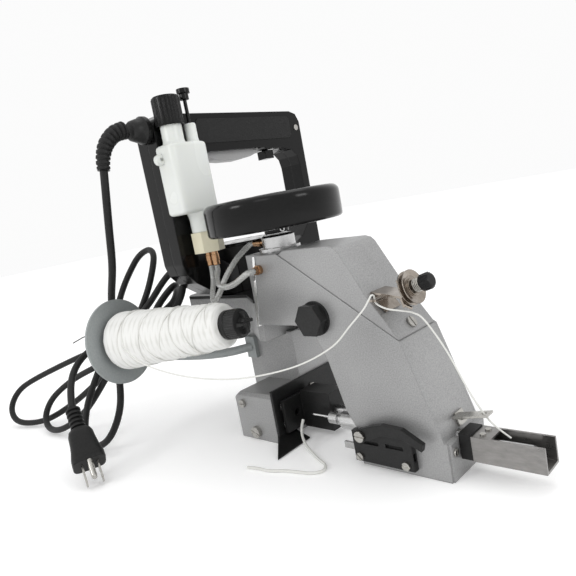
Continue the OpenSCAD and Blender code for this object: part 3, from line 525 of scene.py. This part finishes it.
# ---------------------------------------------------------------- handwheel
def make_wheel():
    r, top, rim = 55.0, 204.5, 6
    profile = [(5, 174), (9.4, 174), (10, 174.6), (10, 178.6), (16, 178.7), (18, 186), (45, 186), (47, 179.4)]
    profile += [(47.6, 178.8), (52, 178.6), (53.6, 179.0), (54.7, 180.2), (55, 181.8), (r, top - 7)]
    for k in range(1, 9):
        t = math.pi / 2 * k / 8
        profile.append((r - rim + rim * math.cos(t), top - rim + rim * math.sin(t)))
    profile += [(r - 10, top - 0.8), (r - 12, top - 1.5), (16, top - 1.5), (14, top + 1), (0, top + 1)]
    place = Matrix.Translation((-0.103, 0.007, 0))
    wheel = lathe("handwheel_turned", profile, place, BLACK, "wheel", seg=160, smooth=30)
    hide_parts("handwheel")
    lathe("hub_set_screw", [(0, 9.4), (1.2, 9.4), (1.2, 10.3), (2.2, 10.3), (2.2, 9.2)],
          Matrix.Translation((-0.103, 0.007, 0.1765)) @ Matrix.Rotation(math.radians(72), 4, "Z")
          @ Matrix.Rotation(math.pi / 2, 4, "X"), STEEL, "wheel", seg=20)


make_wheel()


# ---------------------------------------------------------------- oil bottle
def make_bottle():
    x, y, half_x, half_y, low, high = -173.5, -16.5, 12.5, 19.5, 202, 261
    rings, rim = [], 3.2
    for k in range(7):
        t = math.pi / 2 * k / 6
        inset = rim * (1 - math.sin(t))
        rings.append((low + rim * (1 - math.cos(t)), half_x - inset, half_y - inset, 0.32))
    rings += [(high - (h - low), wx, wy, power) for h, wx, wy, power in reversed(rings)]
    place = Matrix.Translation((x * MM, y * MM, 0))
    body = loft("bottle_body", rings, place, MILKY, count=96)
    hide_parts("oil_bottle")
    lug_place = Matrix.Translation((-0.177, -0.0375, 0.2495)) @ Matrix.Rotation(math.pi / 2, 4, "Y")
    turned = (
        ("bottle_lower_neck", Matrix.Translation((-0.172, -0.0095, 0)), 64,
         [(0, 185), (11.4, 185), (12, 186), (12, 196), (12.4, 199.5), (13.4, 202.6), (0, 203)]),
        ("bottle_filler_neck", Matrix.Translation((-0.174, -0.022, 0)), 64,
         [(0, 259), (10.6, 260), (9.4, 262.4), (9, 264.5), (9, 290), (7.6, 290), (7.6, 270), (0, 270)]),
        ("bottle_plunger_neck", Matrix.Translation((-0.172, -0.0035, 0)), 48,
         [(0, 259), (6.4, 260), (5.3, 262), (5, 264), (5, 275.6), (4.4, 277), (1.8, 277), (1.8, 262),
          (0, 262)]),
        ("bottle_lug", lug_place, 40,
         [(1.5, -3), (4.2, -3), (4.6, -2.4), (4.6, 2.4), (4.2, 3), (1.5, 3), (1.5, -3)]),
    )
    for name, at, seg, profile in turned:
        lathe(name, profile, at, MILKY, seg=seg)


make_bottle()


# ---------------------------------------------------------------- tie round the hank
def make_tie():
    """Thin wire tie: two loose turns round the nearer strands of the hank, with one end standing off."""
    middle = Vector((-302, -34, 92))
    across, down = Vector((-0.541, 0.841, 0)), Vector((0.581, 0.374, -0.723))
    line = []
    for k in range(81):
        a = 4 * math.pi * k / 80
        spot = middle + across * (1 + 19 * math.cos(a)) + down * (-3 + 28 * math.sin(a))
        line.append((spot + Vector((-0.608, -0.392, -0.691)) * 0.02 * k) * MM)
    end = middle + across * 20 + down * -3
    free_end = ((-10, -8, 4), (-24, -18, 7), (-38, -28, 7), (-52, -36, 3), (-60, -42, -3))
    line += [(end + Vector(v)) * MM for v in free_end]
    wire("cord_tie", smoothed(line, 3), 0.6 * MM, TWIST, sides=2)


make_tie()


# ---------------------------------------------------------------- strain relief
RELIEF = [
    (-198, -52, 279), (-198, -62, 276), (-198, -71, 268), (-198, -76, 258), (-198, -78, 248),
]


def make_relief():
    line = spline(RELIEF, 22)
    count = len(line)
    radii = []
    for i in range(count):
        t = i / (count - 1)
        radii.append(7.6 - 2.4 * t if i % 8 < 5 else 4.6)
    sleeve = wire("cord_sleeve", line, 1 * MM, RUBBER, sides=6, radii=radii)
    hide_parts("strain_relief")
    gland = [
        (0, 0), (11.4, 0), (11.8, 1), (11.8, 4.5), (10.6, 6), (9.6, 10), (8.2, 14.5), (7.0, 15.8), (0, 15.8),
    ]
    seat = frame_of((-198, -31, 278), (0, -1, 0))
    lathe("cord_gland", gland, seat, BLACK_SATIN, seg=48)


make_relief()


# ---------------------------------------------------------------- oil tubes
TUBE_LEFT = [
    (-175, -9.5, 154.6), (-175, -9.6, 150), (-173.5, -12, 140), (-168, -20, 129.5), (-158, -26, 126),
    (-149, -26, 134), (-144, -20, 146), (-140, -10, 157), (-135.5, 0, 165), (-131.2, 3, 168),
    (-127.4, 3, 168),
]
TUBE_RIGHT = [
    (-167, -9.5, 154.6), (-167, -9.6, 150), (-163, -15, 144), (-152, -23, 139.5), (-138, -28, 138),
    (-124, -31, 140.5), (-112, -33.5, 144.6), (-104.4, -33, 148.2), (-102.5, -30, 149),
    (-102.5, -26.4, 149),
]


def make_tubes():
    for name, route in (("oil_tube_left", TUBE_LEFT), ("oil_tube_right", TUBE_RIGHT)):
        line = spline(route, 12)
        radii = [1.0 if i % 2 else 0.88 for i in range(len(line))]
        tube = wire(name, line, 2.5 * MM, TUBE, sides=4, radii=radii)
        if name.endswith("left"):
            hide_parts("oil_tubes")


make_tubes()


# ---------------------------------------------------------------- floor and light
LIT_SPOT = Vector((-0.1, 0, 0.12))
# Area lights: name, place, side and power.
LIGHTS = (
    ("key", (0.5, -1.2, 1.7), 0.7, 2.5), ("side", (1.5, 0.2, 0.8), 0.5, 4),
    ("strip", (-0.5, -1.3, 0.7), 0.35, 3), ("top", (-0.1, 0.5, 1.8), 0.8, 3),
)


def make_room():
    mesh = bpy.data.meshes.new("floor")
    half = 6.0
    corners = [(-half, -half, 0), (half, -half, 0), (half, half, 0), (-half, half, 0)]
    mesh.from_pydata(corners, [], [(0, 1, 2, 3)])
    floor = bpy.data.objects.new("floor", mesh)
    scene.collection.objects.link(floor)
    floor.location.z = -0.0002
    m, _, bsdf = new_material("floor_white")
    bsdf.inputs["Base Color"].default_value = (0.95, 0.95, 0.95, 1)
    bsdf.inputs["Emission Color"].default_value = (1, 1, 1, 1)
    bsdf.inputs["Emission Strength"].default_value = 0.12
    bsdf.inputs["Roughness"].default_value = 0.8
    mesh.materials.append(m)
    world = bpy.data.worlds.new("world")
    world.use_nodes = True
    back = world.node_tree.nodes["Background"]
    back.inputs["Color"].default_value = (1, 1, 1, 1)
    back.inputs["Strength"].default_value = 0.97
    scene.world = world
    for name, at, size, power in LIGHTS:
        data = bpy.data.lights.new(name, "AREA")
        data.size, data.energy = size, power
        o = bpy.data.objects.new(name, data)
        scene.collection.objects.link(o)
        o.location = at
        o.rotation_mode = "QUATERNION"
        o.rotation_quaternion = (LIT_SPOT - Vector(at)).to_track_quat("-Z", "Y")


make_room()
